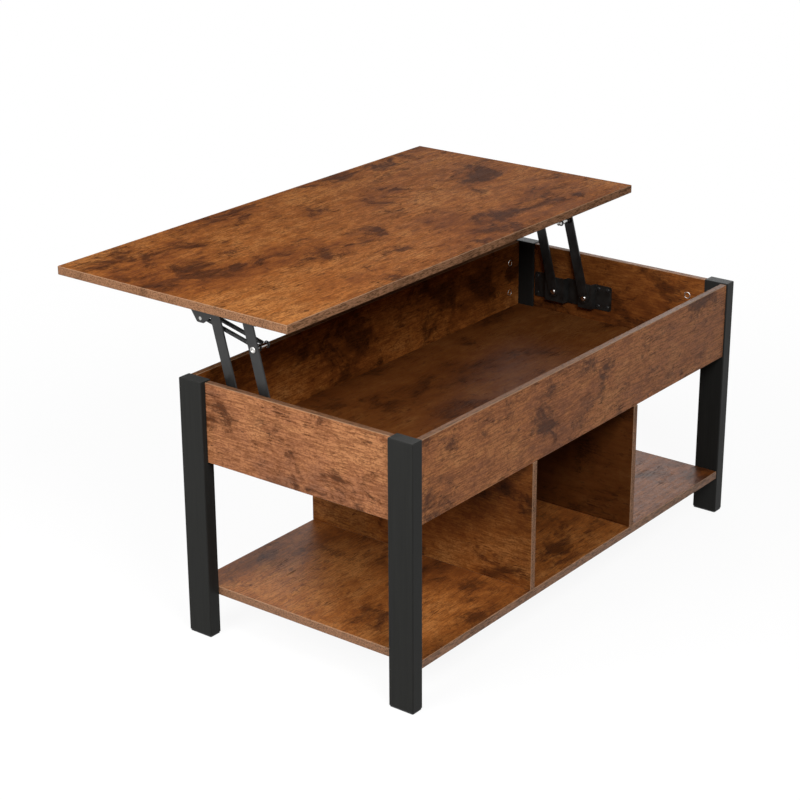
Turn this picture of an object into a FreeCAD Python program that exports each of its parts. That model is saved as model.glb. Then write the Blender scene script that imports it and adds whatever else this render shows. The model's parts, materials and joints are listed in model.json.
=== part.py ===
import FreeCAD, Part
import math
import os
import re

import Sketcher
from FreeCAD import Placement, Rotation, Vector

# A lift-top coffee table with its top raised, in millimetres.
# The origin is on the floor, midway between the four feet.
# X runs along the table, Y points the way the top swings out, and Z points up.

SIZES = {
    # Base frame: four posts on thin pads
    "base_length": 980,
    "base_depth": 475,
    "leg_height": 459,
    "leg_width": 25,
    "leg_depth": 48,
    "leg_edge_radius": 2,
    "leg_top_bevel": 1,
    "foot_pad_thickness": 3,
    "foot_pad_inset": 1,
    # Storage box between the legs
    "panel_thickness": 12,
    "panel_height": 140,
    "panel_top_drop": 1.5,
    "side_panel_recess": 2,
    "end_panel_recess": 10,
    "box_floor_thickness": 12,
    # Lower shelf and its dividers
    "shelf_clearance_height": 71,
    "shelf_thickness": 15,
    "shelf_edge_recess": 1,
    "divider_thickness": 12,
    "board_edge_bevel": 0.8,
    # Tabletop
    "top_end_overhang": 10,
    "top_side_overhang": 12.5,
    "top_thickness": 15,
    "closed_gap": 0.5,
    # Lift arms
    "arm_length": 204,
    "arm_width": 20,
    "arm_thickness": 3,
    "raised_angle": 75,
    "pivot_spacing": 70,
    "pivot_above_floor": 45.5,
    "top_pivot_drop": 14,
    "side_clearance": 0.5,
    # Base bracket: a strip pressed into two hats
    "bracket_strip": 2,
    "bracket_height": 49,
    "bracket_pivot_rise": 21,
    "hat_depth": 10,
    "bend_run": 4,
    "rear_flat_length": 35,
    "rear_hat_length": 29,
    "front_hat_length": 43,
    "front_flat_length": 26,
    "bracket_corner_radius": 4,
    "bracket_hole_edge": 7,
    "bracket_leg_clearance": 4,
    # Top rail: an angle with a lug for the springs
    "rail_strip": 2.5,
    "rail_flange_width": 30,
    "rail_depth": 23,
    "rail_rear_margin": 16,
    "rail_front_margin": 28,
    "rail_nose_depth": 9,
    "lug_half_width": 7,
    "lug_margin": 7,
    "lug_corner_radius": 5,
    "lug_reach": 33,
    "lug_drop": 33.5,
    # Pivot rivets and spring pins
    "rivet_radius": 3,
    "rivet_head_radius": 5.5,
    "rivet_head_height": 2.4,
    "rivet_tail_radius": 5,
    "rivet_tail_height": 2,
    "rivet_crown_share": 0.55,
    "running_clearance": 0.05,
    "spring_pin_radius": 4,
    "spring_pin_station": 155,
    "spring_pin_overhang": 2,
    # Springs
    "spring_radius": 5,
    "spring_wire": 2.6,
    "spring_turns": 9,
    "spring_hook_clearance": 0.35,
    "spring_coil_setback": 1.5,
    "spring_spacing": 17,
    "spring_flange_gap": 1,
    # Screw holes in the steel strips
    "screw_hole_radius": 2.2,
    "rail_hole_inset": 12,
    "pin_seat_clearance": 0.1,
    "cut_overrun": 2,
}

# Places that follow from the sizes above
LAYOUT = {
    "leg_inner_x": "base_length / 2 - leg_width",
    "leg_inner_y": "base_depth / 2 - leg_depth",
    "panel_top": "leg_height - panel_top_drop",
    "panel_bottom": "panel_top - panel_height",
    "side_inner_y": "base_depth / 2 - side_panel_recess - panel_thickness",
    "end_inner_x": "base_length / 2 - end_panel_recess - panel_thickness",
    "box_floor_top": "panel_bottom + box_floor_thickness",
    "shelf_top": "shelf_clearance_height + shelf_thickness",
    "shelf_half_depth": "base_depth / 2 - shelf_edge_recess",
    "top_length": "base_length + 2 * top_end_overhang",
    "top_depth": "base_depth + 2 * top_side_overhang",
    "bay_width": "(2 * leg_inner_x - 2 * divider_thickness) / 3",
    "divider_inner_x": "bay_width / 2",
    "pivot_z": "box_floor_top + pivot_above_floor",
    "bracket_front_y": "leg_inner_y - bracket_leg_clearance",
    "front_pivot_reach": "bracket_front_y - front_flat_length - bend_run - front_hat_length / 2",
    "rear_pivot_reach": "front_pivot_reach - pivot_spacing",
    "arm_lean": "arm_length * cos(raised_angle)",
    "arm_rise": "arm_length * sin(raised_angle)",
    "top_pivot_z": "pivot_z + arm_rise",
    "top_underside": "top_pivot_z + top_pivot_drop",
    "closed_rise": "leg_height + closed_gap - top_pivot_drop - pivot_z",
    "closed_lean": "sqrt(arm_length ^ 2 - closed_rise ^ 2)",
    "top_shift": "arm_lean + closed_lean",
    "hat_face_x": "end_inner_x - bracket_strip - hat_depth",
    "arm_outer_x": "hat_face_x - side_clearance",
    "arm_inner_x": "arm_outer_x - arm_thickness",
    "flange_outer_x": "arm_inner_x - side_clearance",
    "flange_inner_x": "flange_outer_x - rail_strip",
    "outer_spring_x": "flange_inner_x - spring_flange_gap - spring_radius",
    "inner_spring_x": "outer_spring_x - spring_spacing",
    "spring_pin_end_x": "inner_spring_x - spring_radius - spring_pin_overhang",
    "rear_top_y": "rear_pivot_reach + arm_lean",
    "front_top_y": "front_pivot_reach + arm_lean",
    "lug_y": "front_top_y + lug_reach",
    "lug_z": "top_underside - lug_drop",
    "spring_pin_y": "rear_pivot_reach + spring_pin_station * cos(raised_angle)",
    "spring_pin_z": "pivot_z + spring_pin_station * sin(raised_angle)",
    "bracket_bottom": "pivot_z - bracket_pivot_rise",
    "middle_flat_length":
        "pivot_spacing - rear_hat_length / 2 - front_hat_length / 2 - 2 * bend_run",
    "bracket_rear_y":
        "rear_pivot_reach - rear_hat_length / 2 - bend_run - rear_flat_length",
    "bend_angle": "atan(hat_depth / bend_run)",
    "bend_shift": "bracket_strip * tan(bend_angle / 2)",
    "rail_rear_y": "rear_top_y - rail_rear_margin",
    "rail_front_y": "lug_y + rail_front_margin",
    "pivot_bore_radius": "rivet_radius + running_clearance",
    "spring_pin_bore_radius": "rivet_radius + pin_seat_clearance",
}

LEFT_AND_RIGHT = {"left": -1, "right": 1}
FRONT_AND_BACK = {"front": -1, "back": 1}
SPRING_WIRE_SIDES = 6
SAME_PLACE = 1e-6
PATH_CHECKS_PER_TURN = 24

doc = FreeCAD.newDocument("LiftTopTable")
parts = {}


def fill_sheet(name, cells):
    """Write one named cell per row and give each its alias."""
    sheet = doc.addObject("Spreadsheet::Sheet", name)
    for row, (alias, content) in enumerate(cells.items(), start=1):
        sheet.set(f"A{row}", alias)
        sheet.set(f"B{row}", content)
        sheet.setAlias(f"B{row}", alias)
    return sheet


def formula(text):
    """Point every size and place named in the text at its own sheet."""

    def located(match):
        word = match.group(0)
        if word in SIZES:
            return f"Sizes.{word}"
        if word in LAYOUT:
            return f"Layout.{word}"
        return word

    return re.sub(r"\b[a-z][a-z_]*\b", located, str(text))


sizes_sheet = fill_sheet("Sizes", {name: str(value) for name, value in SIZES.items()})
doc.recompute()
layout_sheet = fill_sheet("Layout", {name: "=" + formula(text) for name, text in LAYOUT.items()})
doc.recompute()


def number(text):
    """The value of a formula as a plain number."""
    return float(sizes_sheet.evalExpression(formula(text)))


def bind(thing, formulas):
    for path, text in formulas.items():
        thing.setExpression(path, formula(text))


def put(thing, corner, rotation=Rotation()):
    """Place a thing by three formulas, turned by a fixed rotation."""
    thing.Placement = Placement(Vector(*[number(text) for text in corner]), rotation)
    bind(thing, {f".Placement.Base.{axis}": text for axis, text in zip("xyz", corner)})
    return thing


def box(name, size, corner):
    block = doc.addObject("Part::Box", name)
    bind(block, dict(zip(("Length", "Width", "Height"), size)))
    return put(block, corner)


def rod(name, radius, length, start, along):
    """A cylinder that grows from its start point along a direction."""
    cylinder = doc.addObject("Part::Cylinder", name)
    bind(cylinder, {"Radius": radius, "Height": length})
    return put(cylinder, start, Rotation(Vector(0, 0, 1), Vector(*along)))


def together(name, pieces):
    group = doc.addObject("Part::Compound", name)
    group.Links = pieces
    return group


def cut(name, blank, tools):
    result = doc.addObject("Part::Cut", name)
    result.Base = blank
    result.Tool = together(name + "_tools", tools)
    return result


def keep(node, shape_object):
    """Name a finished sub-part."""
    shape_object.Label = node
    parts[node] = shape_object
    return shape_object


def origin_plane(body, role):
    return next(plane for plane in body.Origin.OriginFeatures if plane.Role == role)


def outline(body, role, points):
    """A closed sketch of straight lines whose corners are all driven by formulas."""
    sketch = body.newObject("Sketcher::SketchObject", body.Name + "_outline")
    sketch.AttachmentSupport = (origin_plane(body, role), [""])
    sketch.MapMode = "FlatFace"
    corners = [Vector(number(x), number(y), 0) for x, y in points]
    last = len(corners) - 1
    for index, corner in enumerate(corners):
        sketch.addGeometry(Part.LineSegment(corner, corners[(index + 1) % len(corners)]), False)
    for index in range(len(corners)):
        follower = 0 if index == last else index + 1
        sketch.addConstraint(Sketcher.Constraint("Coincident", index, 2, follower, 1))
    for index, (corner, place) in enumerate(zip(corners, points)):
        axes = (("DistanceX", corner.x, place[0]), ("DistanceY", corner.y, place[1]))
        for kind, value, text in axes:
            place_index = sketch.addConstraint(Sketcher.Constraint(kind, -1, 1, index, 1, value))
            sketch.setExpression(f"Constraints[{place_index}]", formula(text))
    return sketch


def pad(body, sketch, length, reverse=False):
    feature = body.newObject("PartDesign::Pad", body.Name + "_pad")
    feature.Profile = sketch
    feature.Reversed = reverse
    bind(feature, {"Length": length})
    return feature


def dress(body, feature, kind, size, wanted):
    """Round or bevel the edges of a feature that the test picks."""
    doc.recompute()
    eased = body.newObject(f"PartDesign::{kind}", f"{body.Name}_{kind}")
    edges = feature.Shape.Edges
    eased.Base = (feature, [f"Edge{index}" for index, edge in enumerate(edges, start=1) if wanted(edge)])
    bind(eased, {"Radius" if kind == "Fillet" else "Size": size})
    return eased


def runs_along(edge, direction):
    """True for a straight edge that is parallel to a direction."""
    ends = edge.Vertexes
    return len(ends) == 2 and (ends[1].Point - ends[0].Point).cross(direction).Length < SAME_PLACE


def rectangle(length, depth):
    half_x = f"({length}) / 2"
    half_y = f"({depth}) / 2"
    return [(f"-{half_x}", f"-{half_y}"), (half_x, f"-{half_y}"), (half_x, half_y), (f"-{half_x}", half_y)]


def upright(edge):
    return runs_along(edge, Vector(0, 0, 1))


def block(name, length, depth, height):
    """An upright block, centred on its own Z axis, and its one feature."""
    body = doc.addObject("PartDesign::Body", name)
    return body, pad(body, outline(body, "XY_Plane", rectangle(length, depth)), height)


def turned(name, profile, start, along):
    """A round piece: a half section of (distance along, radius) corners, spun about its axis."""
    body = doc.addObject("PartDesign::Body", name)
    sketch = outline(body, "XZ_Plane", profile)
    spin = body.newObject("PartDesign::Revolution", name + "_spin")
    spin.Profile = sketch
    spin.ReferenceAxis = (sketch, ["H_Axis"])
    spin.Angle = 360
    return put(body, start, Rotation(Vector(1, 0, 0), Vector(*along)))


def mirrored(sign, text):
    return f"{sign} * ({text})"


def board(name, length, depth, height, foot):
    """A laminated board with lightly bevelled edges, placed by the middle of its underside."""
    body, slab = block(name, length, depth, height)
    dress(body, slab, "Chamfer", "board_edge_bevel", lambda edge: True)
    return keep(name, put(body, foot))


def around_leg_top(edge):
    top = number("leg_height - foot_pad_thickness")
    return all(abs(vertex.Z - top) < SAME_PLACE for vertex in edge.Vertexes)


def make_legs():
    pads = []
    for side, x_sign in LEFT_AND_RIGHT.items():
        for face, y_sign in FRONT_AND_BACK.items():
            name = f"{side}_{face}_leg"
            x = mirrored(x_sign, "base_length / 2 - leg_width / 2")
            y = mirrored(y_sign, "base_depth / 2 - leg_depth / 2")
            post, shaft = block(name, "leg_width", "leg_depth", "leg_height - foot_pad_thickness")
            rounded = dress(post, shaft, "Fillet", "leg_edge_radius", upright)
            dress(post, rounded, "Chamfer", "leg_top_bevel", around_leg_top)
            keep(name, put(post, (x, y, "foot_pad_thickness")))
            foot, slab = block(name + "_foot", "leg_width - 2 * foot_pad_inset",
                               "leg_depth - 2 * foot_pad_inset", "foot_pad_thickness")
            dress(foot, slab, "Fillet", "leg_edge_radius", upright)
            pads.append(put(foot, (x, y, "0")))
    keep("foot_pads", together("foot_pads", pads))


def floor_outline():
    """The box floor seen from above, notched round the four legs."""
    notch = [("end_inner_x", "leg_inner_y"), ("leg_inner_x", "leg_inner_y"), ("leg_inner_x", "side_inner_y")]
    points = []
    for x_sign, y_sign in ((1, 1), (-1, 1), (-1, -1), (1, -1)):
        corner = notch if x_sign == y_sign else notch[::-1]
        points += [(mirrored(x_sign, x), mirrored(y_sign, y)) for x, y in corner]
    return points


def make_box():
    for face, y_sign in FRONT_AND_BACK.items():
        board(f"{face}_panel", "2 * leg_inner_x", "panel_thickness", "panel_height",
              ("0", mirrored(y_sign, "side_inner_y + panel_thickness / 2"), "panel_bottom"))
    for side, x_sign in LEFT_AND_RIGHT.items():
        board(f"{side}_end_panel", "panel_thickness", "2 * leg_inner_y", "panel_height",
              (mirrored(x_sign, "end_inner_x + panel_thickness / 2"), "0", "panel_bottom"))
    floor = doc.addObject("PartDesign::Body", "box_floor")
    pad(floor, outline(floor, "XY_Plane", floor_outline()), "box_floor_thickness")
    keep("box_floor", put(floor, ("0", "0", "panel_bottom")))


def make_shelf():
    board("lower_shelf", "2 * leg_inner_x", "2 * shelf_half_depth", "shelf_thickness",
          ("0", "0", "shelf_clearance_height"))
    for side, x_sign in LEFT_AND_RIGHT.items():
        board(f"{side}_divider", "divider_thickness", "2 * shelf_half_depth", "panel_bottom - shelf_top",
              (mirrored(x_sign, "divider_inner_x + divider_thickness / 2"), "0", "shelf_top"))


def bracket_holes():
    """Screw holes of a base bracket: an upper and a lower one at each station along its flats."""
    stations = (
        "bracket_rear_y + bracket_hole_edge",
        "bracket_rear_y + rear_flat_length - bracket_hole_edge",
        "bracket_front_y - bracket_hole_edge",
    )
    heights = ("bracket_bottom + bracket_hole_edge", "bracket_bottom + bracket_height - bracket_hole_edge")
    return [(y, z) for y in stations for z in heights]


def bracket_end_corner(edge):
    ends = (number("bracket_rear_y"), number("bracket_front_y"))
    at_end = any(abs(edge.Vertexes[0].Y - end) < SAME_PLACE for end in ends)
    return at_end and runs_along(edge, Vector(1, 0, 0))


def hat_profile(x_sign):
    """The bracket's strip seen from above: flats on the panel, hats standing into the box."""
    back, flat = "end_inner_x", "end_inner_x - bracket_strip"
    hollow, face = "end_inner_x - hat_depth", "hat_face_x"
    rear_hat_start = "bracket_rear_y + rear_flat_length + bend_run"
    rear_hat_end = f"{rear_hat_start} + rear_hat_length"
    front_hat_start = f"{rear_hat_end} + 2 * bend_run + middle_flat_length"
    front_hat_end = f"{front_hat_start} + front_hat_length"
    end = "bracket_front_y"
    inner_side = [(flat, "bracket_rear_y")]
    panel_side = [(back, "bracket_rear_y")]
    for start, finish in ((rear_hat_start, rear_hat_end), (front_hat_start, front_hat_end)):
        inner_side += [
            (flat, f"{start} - bend_run"), (face, start), (face, finish), (flat, f"{finish} + bend_run"),
        ]
        panel_side += [
            (back, f"{start} - bend_run + bend_shift"), (hollow, f"{start} + bend_shift"),
            (hollow, f"{finish} - bend_shift"), (back, f"{finish} + bend_run - bend_shift"),
        ]
    inner_side.append((flat, end))
    panel_side.append((back, end))
    return [(mirrored(x_sign, x), y) for x, y in inner_side + panel_side[::-1]]


def make_brackets():
    through = "bracket_strip + 2 * cut_overrun"
    for side, x_sign in LEFT_AND_RIGHT.items():
        name = f"{side}_base_bracket"
        body = doc.addObject("PartDesign::Body", name + "_strip")
        strip = pad(body, outline(body, "XY_Plane", hat_profile(x_sign)), "bracket_height")
        dress(body, strip, "Fillet", "bracket_corner_radius", bracket_end_corner)
        put(body, ("0", "0", "bracket_bottom"))
        holes = []
        for y, z in bracket_holes():
            start = (mirrored(x_sign, "end_inner_x + cut_overrun"), y, z)
            hole_name = f"{name}_hole_{len(holes)}"
            holes.append(rod(hole_name, "screw_hole_radius", through, start, (-x_sign, 0, 0)))
        for y in ("rear_pivot_reach", "front_pivot_reach"):
            start = (mirrored(x_sign, "hat_face_x - cut_overrun"), y, "pivot_z")
            hole_name = f"{name}_pivot_{len(holes)}"
            holes.append(rod(hole_name, "pivot_bore_radius", through, start, (x_sign, 0, 0)))
        keep(name, cut(name, body, holes))


def arm_blank(name):
    """A flat bar with round ends, lying along Y with its lower pivot at the origin."""
    bar = box(name + "_bar", ("arm_thickness", "arm_length", "arm_width"), ("0", "0", "-arm_width / 2"))
    ends = [rod(f"{name}_end_{index}", "arm_width / 2", "arm_thickness", ("0", y, "0"), (1, 0, 0))
            for index, y in enumerate(("0", "arm_length"))]
    blank = doc.addObject("Part::MultiFuse", name + "_blank")
    blank.Shapes = [bar] + ends
    blank.Refine = True
    return blank


def make_arms():
    for side, x_sign in LEFT_AND_RIGHT.items():
        low_x = "arm_inner_x" if x_sign > 0 else "-arm_outer_x"
        for row, pivot_y in (("front", "front_pivot_reach"), ("rear", "rear_pivot_reach")):
            name = f"{side}_{row}_arm"
            stations = [("0", "pivot_bore_radius"), ("arm_length", "pivot_bore_radius")]
            if row == "rear":
                stations.append(("spring_pin_station", "spring_pin_bore_radius"))
            bores = [rod(f"{name}_bore_{index}", radius, "arm_thickness + 2 * cut_overrun",
                         ("-cut_overrun", y, "0"), (1, 0, 0)) for index, (y, radius) in enumerate(stations)]
            arm = cut(name, arm_blank(name), bores)
            put(arm, (low_x, pivot_y, "pivot_z"), Rotation(Vector(1, 0, 0), number("raised_angle")))
            bind(arm, {".Placement.Rotation.Angle": "raised_angle"})
            keep(name, arm)


def lug_corner(edge):
    lowest = number("-lug_drop - lug_margin")
    return runs_along(edge, Vector(1, 0, 0)) and abs(edge.Vertexes[0].Z - lowest) < SAME_PLACE


def web_outline():
    """The rail's upright side: pivots at the rear, the spring lug hanging below, a tapered nose."""
    return [
        ("rail_rear_y", "0"), ("rail_rear_y", "-rail_depth"),
        ("front_top_y + rivet_tail_radius", "-rail_depth"),
        ("lug_y - lug_half_width", "-lug_drop - lug_margin"),
        ("lug_y + lug_half_width", "-lug_drop - lug_margin"),
        ("rail_front_y", "-rail_nose_depth"), ("rail_front_y", "0"),
    ]


def flange_outline(x_sign):
    """The rail's flat side, which lies under the top."""
    outer = mirrored(x_sign, "rail_strip")
    inner = mirrored(x_sign, "rail_strip - rail_flange_width")
    return [(outer, "rail_rear_y"), (outer, "rail_front_y"), (inner, "rail_front_y"), (inner, "rail_rear_y")]


def make_rails():
    through = "rail_strip + 2 * cut_overrun"
    for side, x_sign in LEFT_AND_RIGHT.items():
        name = f"{side}_top_rail"
        body = doc.addObject("PartDesign::Body", name + "_angle")
        pad(body, outline(body, "YZ_Plane", web_outline()), "rail_strip", reverse=x_sign < 0)
        angle = pad(body, outline(body, "XY_Plane", flange_outline(x_sign)), "rail_strip", reverse=True)
        dress(body, angle, "Fillet", "lug_corner_radius", lug_corner)
        put(body, (mirrored(x_sign, "flange_inner_x"), "0", "top_underside"))
        web_x = mirrored(x_sign, "flange_inner_x - cut_overrun")
        holes = [rod(name + "_lug_bore", "spring_pin_bore_radius", through, (web_x, "lug_y", "lug_z"),
                     (x_sign, 0, 0))]
        for y in ("rear_top_y", "front_top_y"):
            holes.append(rod(f"{name}_pivot_{len(holes)}", "pivot_bore_radius", through,
                             (web_x, y, "top_pivot_z"), (x_sign, 0, 0)))
        flange_x = mirrored(x_sign, "flange_outer_x - rail_flange_width / 2")
        for y in ("rail_rear_y + rail_hole_inset", "rail_front_y - rail_hole_inset"):
            start = (flange_x, y, "top_underside + cut_overrun")
            holes.append(rod(f"{name}_hole_{len(holes)}", "screw_hole_radius", through, start, (0, 0, -1)))
        keep(name, cut(name, body, holes))


def make_tabletop():
    board("tabletop", "top_length", "top_depth", "top_thickness", ("0", "top_shift", "top_underside"))


def rivet_profile(grip):
    """A domed head below zero, the shank across the grip, and the closed tail."""
    return [
        ("-rivet_head_height", "0"), ("-rivet_head_height", "rivet_head_radius * rivet_crown_share"),
        ("0", "rivet_head_radius"), ("0", "rivet_radius"),
        (grip, "rivet_radius"), (grip, "rivet_tail_radius"),
        (f"{grip} + rivet_tail_height", "rivet_tail_radius * rivet_crown_share"),
        (f"{grip} + rivet_tail_height", "0"),
    ]


def arm_pin_profile():
    """A pin riveted through the arm, with a thicker end that reaches across both springs."""
    return [
        ("-rivet_head_height", "0"), ("-rivet_head_height", "rivet_head_radius * rivet_crown_share"),
        ("0", "rivet_head_radius"), ("0", "rivet_radius"),
        ("arm_thickness", "rivet_radius"), ("arm_thickness", "spring_pin_radius"),
        ("arm_outer_x - spring_pin_end_x", "spring_pin_radius"), ("arm_outer_x - spring_pin_end_x", "0"),
    ]


def lug_pin_profile():
    """A pin set flush in the rail's lug."""
    return [
        ("0", "0"), ("0", "rivet_radius"),
        ("rail_strip", "rivet_radius"), ("rail_strip", "spring_pin_radius"),
        ("flange_outer_x - spring_pin_end_x", "spring_pin_radius"),
        ("flange_outer_x - spring_pin_end_x", "0"),
    ]


def make_pivots():
    """Rivets at both ends of the arms, with side play, and the pins that carry the springs."""
    base_rivets, top_rivets, arm_pins, lug_pins = [], [], [], []
    base_grip = "2 * side_clearance + arm_thickness + bracket_strip"
    top_grip = "2 * side_clearance + arm_thickness + rail_strip"
    for x_sign in LEFT_AND_RIGHT.values():
        outward, inward = (x_sign, 0, 0), (-x_sign, 0, 0)
        for y in ("rear_pivot_reach", "front_pivot_reach"):
            start = (mirrored(x_sign, "arm_inner_x - side_clearance"), y, "pivot_z")
            name = f"base_rivet_{len(base_rivets)}"
            base_rivets.append(turned(name, rivet_profile(base_grip), start, outward))
        for y in ("rear_top_y", "front_top_y"):
            start = (mirrored(x_sign, "arm_outer_x + side_clearance"), y, "top_pivot_z")
            name = f"top_rivet_{len(top_rivets)}"
            top_rivets.append(turned(name, rivet_profile(top_grip), start, inward))
        pin_start = (mirrored(x_sign, "arm_outer_x"), "spring_pin_y", "spring_pin_z")
        arm_pins.append(turned(f"arm_pin_{len(arm_pins)}", arm_pin_profile(), pin_start, inward))
        lug_start = (mirrored(x_sign, "flange_outer_x"), "lug_y", "lug_z")
        lug_pins.append(turned(f"lug_pin_{len(lug_pins)}", lug_pin_profile(), lug_start, inward))
    keep("base_pivot_rivets", together("base_pivot_rivets", base_rivets))
    keep("top_pivot_rivets", together("top_pivot_rivets", top_rivets))
    keep("arm_spring_pins", together("arm_spring_pins", arm_pins))
    keep("lug_spring_pins", together("lug_spring_pins", lug_pins))


def biarc(start, start_way, end, end_way):
    """Two tangent arcs that leave one point and reach another in given directions."""
    span = end - start
    ways = start_way + end_way
    spread = 2 * (1 - start_way.dot(end_way))
    reach = (math.sqrt(span.dot(ways) ** 2 + spread * span.dot(span)) - span.dot(ways)) / spread
    first = start + start_way * reach
    second = end - end_way * reach
    middle = (first + second) / 2
    return [tangent_arc(start, first, middle), tangent_arc(middle, second, end)]


def tangent_arc(start, corner, end):
    """The arc from start to end that is tangent to both lines through the corner."""
    chord_middle = (start + end) / 2
    half_chord = (end - start).Length / 2
    rise = (corner - chord_middle).Length
    sagitta = half_chord * math.tan(math.atan2(rise, half_chord) / 2)
    through = chord_middle + (corner - chord_middle) * (sagitta / rise)
    return Part.Arc(start, through, end).toShape()


def spring_shape(x, pin, lug):
    """An extension spring with a side hook round each pin, swept as one unbroken wire."""
    wire_radius = number("spring_wire / 2")
    coil_radius = number("spring_radius") - wire_radius
    hook_radius = number("spring_pin_radius + spring_hook_clearance") + wire_radius
    turns = int(number("spring_turns"))
    along = (lug - pin).normalize()
    across = Vector(1, 0, 0)
    up = along.cross(across)
    hook_reach = hook_radius + number("spring_coil_setback")
    length = (lug - pin).Length - 2 * hook_reach
    centre = pin + across * (x - pin.x) + along * hook_reach
    steepness = math.atan2(length, 2 * math.pi * coil_radius * turns)

    def coil_point(turn):
        angle = 2 * math.pi * turn
        around = across * math.cos(angle) + up * math.sin(angle)
        return centre + around * coil_radius + along * (length * turn / turns)

    def coil_way(turn):
        angle = 2 * math.pi * turn
        around = up * math.cos(angle) - across * math.sin(angle)
        return around * math.cos(steepness) + along * math.sin(steepness)

    def hook_point(end_turn, side, angle):
        hook_centre = coil_point(end_turn) + along * (side * hook_reach)
        around = up * math.sin(angle) - along * (side * math.cos(angle))
        return hook_centre + around * hook_radius

    def hook_way(side, angle):
        return up * math.cos(angle) + along * (side * math.sin(angle))

    quarter = math.pi / 2
    open_angle = 3 * quarter
    wire_tail = number("spring_wire")
    edges = []
    tail_end = hook_point(0, -1, -open_angle)
    edges.append(Part.LineSegment(tail_end - hook_way(-1, -open_angle) * wire_tail, tail_end).toShape())
    for step in (-3, -2):
        edges += biarc(hook_point(0, -1, step * quarter), hook_way(-1, step * quarter),
                       hook_point(0, -1, (step + 1) * quarter), hook_way(-1, (step + 1) * quarter))
    edges += biarc(hook_point(0, -1, -quarter), hook_way(-1, -quarter), coil_point(0), coil_way(0))
    for half in range(2 * turns):
        begin, finish = half / 2, (half + 1) / 2
        edges += biarc(coil_point(begin), coil_way(begin), coil_point(finish), coil_way(finish))
    edges += biarc(coil_point(turns), coil_way(turns), hook_point(turns, 1, quarter), hook_way(1, quarter))
    for step in (1, 2):
        edges += biarc(hook_point(turns, 1, step * quarter), hook_way(1, step * quarter),
                       hook_point(turns, 1, (step + 1) * quarter), hook_way(1, (step + 1) * quarter))
    tail_start = hook_point(turns, 1, open_angle)
    edges.append(Part.LineSegment(tail_start, tail_start + hook_way(1, open_angle) * wire_tail).toShape())
    path = Part.Wire(edges)

    start = edges[0].Vertexes[0].Point
    heading = (edges[0].Vertexes[-1].Point - start).normalize()
    section_x = heading.cross(across).normalize()
    section_y = heading.cross(section_x)
    section = Part.makePolygon([
        start + section_x * (wire_radius * math.cos(2 * math.pi * side / SPRING_WIRE_SIDES))
        + section_y * (wire_radius * math.sin(2 * math.pi * side / SPRING_WIRE_SIDES))
        for side in list(range(SPRING_WIRE_SIDES)) + [0]
    ])
    return path, path.makePipeShell([section], True, False)


def least_self_gap(path, wire):
    """The least clear space between stretches of one wire that aren't neighbours."""
    count = PATH_CHECKS_PER_TURN * (SIZES["spring_turns"] + 2)
    points = path.discretize(count)
    apart = PATH_CHECKS_PER_TURN // 2
    return min(
        (points[i] - points[j]).Length for i in range(count) for j in range(i + apart, count)
    ) - wire


def make_springs():
    springs = []
    for x_sign in LEFT_AND_RIGHT.values():
        pin = Vector(0, number("spring_pin_y"), number("spring_pin_z"))
        lug = Vector(0, number("lug_y"), number("lug_z"))
        for place in ("outer_spring_x", "inner_spring_x"):
            path, shape = spring_shape(x_sign * number(place), pin, lug)
            springs.append(shape)
    print("least gap of the spring wire to itself:", round(least_self_gap(path, number("spring_wire")), 3))
    group = doc.addObject("Part::Feature", "lift_springs")
    group.Shape = Part.makeCompound(springs)
    keep("lift_springs", group)


def check_and_write():
    doc.recompute()
    for thing in doc.Objects:
        if "Invalid" in thing.State or "Error" in thing.State:
            raise RuntimeError(f"{thing.Name} failed: {thing.State}")
    for node, thing in parts.items():
        if thing.Shape.isNull() or not thing.Shape.isValid():
            raise RuntimeError(f"{node} has no valid shape")
        if not thing.Shape.Solids:
            raise RuntimeError(f"{node} holds no solid")
    os.makedirs("parts", exist_ok=True)
    for node, thing in parts.items():
        thing.Shape.exportStep(f"parts/{node}.step")
    print(len(parts), "nodes written")


make_legs()
make_box()
make_shelf()
make_brackets()
make_arms()
make_rails()
make_tabletop()
make_pivots()
make_springs()
check_and_write()
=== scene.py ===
import json
import math

import bmesh
import bpy
from mathutils import Matrix, Vector


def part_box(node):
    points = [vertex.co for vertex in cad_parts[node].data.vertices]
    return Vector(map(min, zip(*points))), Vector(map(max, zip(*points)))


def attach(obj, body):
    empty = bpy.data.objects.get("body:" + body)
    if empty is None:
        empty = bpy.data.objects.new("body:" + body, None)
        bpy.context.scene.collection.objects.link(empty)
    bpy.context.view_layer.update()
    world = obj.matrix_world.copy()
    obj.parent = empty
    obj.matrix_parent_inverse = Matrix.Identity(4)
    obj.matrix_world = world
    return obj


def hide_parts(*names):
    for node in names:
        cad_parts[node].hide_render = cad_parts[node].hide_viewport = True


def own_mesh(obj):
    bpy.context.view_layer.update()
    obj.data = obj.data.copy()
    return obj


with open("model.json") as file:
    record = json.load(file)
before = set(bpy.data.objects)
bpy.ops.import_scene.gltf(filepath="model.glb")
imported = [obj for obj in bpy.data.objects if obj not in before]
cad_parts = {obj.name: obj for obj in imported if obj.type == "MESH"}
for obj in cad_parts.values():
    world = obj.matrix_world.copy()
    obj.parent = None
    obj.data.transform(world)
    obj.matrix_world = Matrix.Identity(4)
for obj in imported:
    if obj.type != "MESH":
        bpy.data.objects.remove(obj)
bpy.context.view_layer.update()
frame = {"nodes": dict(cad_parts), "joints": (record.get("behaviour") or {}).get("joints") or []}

# A lift-top coffee table in rustic brown laminate on black posts, with its top raised.
# Lengths are in metres; X runs along the table, Y is the way the top swings out, Z is up.

SIDES = (-1, 1)
QUARTER_TURN = math.pi / 2
HALF_TURN = math.pi
FULL_TURN = 2 * math.pi

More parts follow.
